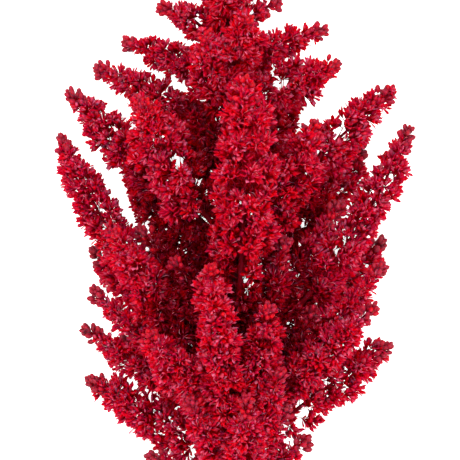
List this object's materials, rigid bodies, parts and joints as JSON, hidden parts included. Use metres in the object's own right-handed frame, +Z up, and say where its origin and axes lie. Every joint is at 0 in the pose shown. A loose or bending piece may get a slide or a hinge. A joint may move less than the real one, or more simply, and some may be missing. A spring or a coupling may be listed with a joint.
{
  "type": "astilbe flower stem",
  "caption": "Cut astilbe lying on its side: a branching stem with a feathery crimson plume of racemes, each closely set with tiny florets and buds.",
  "frame": {"origin": "on the surface that the flower lies on, below the middle of its box", "axes": "+Z up from the surface; +Y along the stem from its cut end towards the plume's tip; +X to the right of the plume seen from above with its tip up"},
  "size_m": [0.095, 0.2448, 0.0588],
  "materials": {
    "stem": "matte fibrous brown-maroon stalk, redder towards the top",
    "florets": "soft crimson petals with a faint satin sheen, darker in the gaps and dusky at the buds"
  },
  "bodies": {
    "root": {"stem": "stem", "raceme_crown": "florets", "raceme_top_left": "florets", "raceme_top_right": "florets", "raceme_top_front": "florets", "raceme_top_back": "florets", "raceme_a_left": "florets", "raceme_a_right": "florets", "raceme_a_front": "florets", "raceme_a_back": "florets", "raceme_b_left": "florets", "raceme_b_right": "florets", "raceme_b_front_left": "florets", "raceme_b_back": "florets", "raceme_c_left": "florets", "raceme_c_right": "florets", "raceme_c_mid_left": "florets", "raceme_c_back_left": "florets", "raceme_c_back_right": "florets", "raceme_d_left": "florets", "raceme_d_left_front": "florets", "raceme_d_front": "florets", "raceme_d_right": "florets", "raceme_d_right_front": "florets", "raceme_d_back": "florets", "raceme_d_back_left": "florets", "raceme_d_back_right": "florets", "raceme_d_back_mid": "florets", "raceme_e_left": "florets", "raceme_e_right": "florets", "raceme_e_left_front": "florets", "raceme_e_low_left": "florets", "raceme_e_right_front": "florets", "raceme_e_low_right": "florets", "raceme_e_mid_left": "florets", "raceme_e_mid_right": "florets", "raceme_e_centre_left": "florets", "raceme_e_centre_right": "florets", "raceme_e_back_left": "florets", "raceme_e_back_right": "florets", "raceme_e_back": "florets", "raceme_f_left": "florets", "raceme_f_left_front": "florets", "raceme_f_front": "florets", "raceme_f_right_front": "florets", "raceme_f_mid_right": "florets", "raceme_f_back_left": "florets", "raceme_f_back_right": "florets", "raceme_f_back": "florets", "raceme_g_left": "florets", "raceme_g_right": "florets", "raceme_g_right_front": "florets", "raceme_g_low_right": "florets", "raceme_g_front": "florets", "raceme_g_left_front": "florets", "raceme_g_back": "florets", "raceme_g_back_left": "florets", "raceme_h_left": "florets", "raceme_h_right": "florets"}
  },
  "joints": []
}
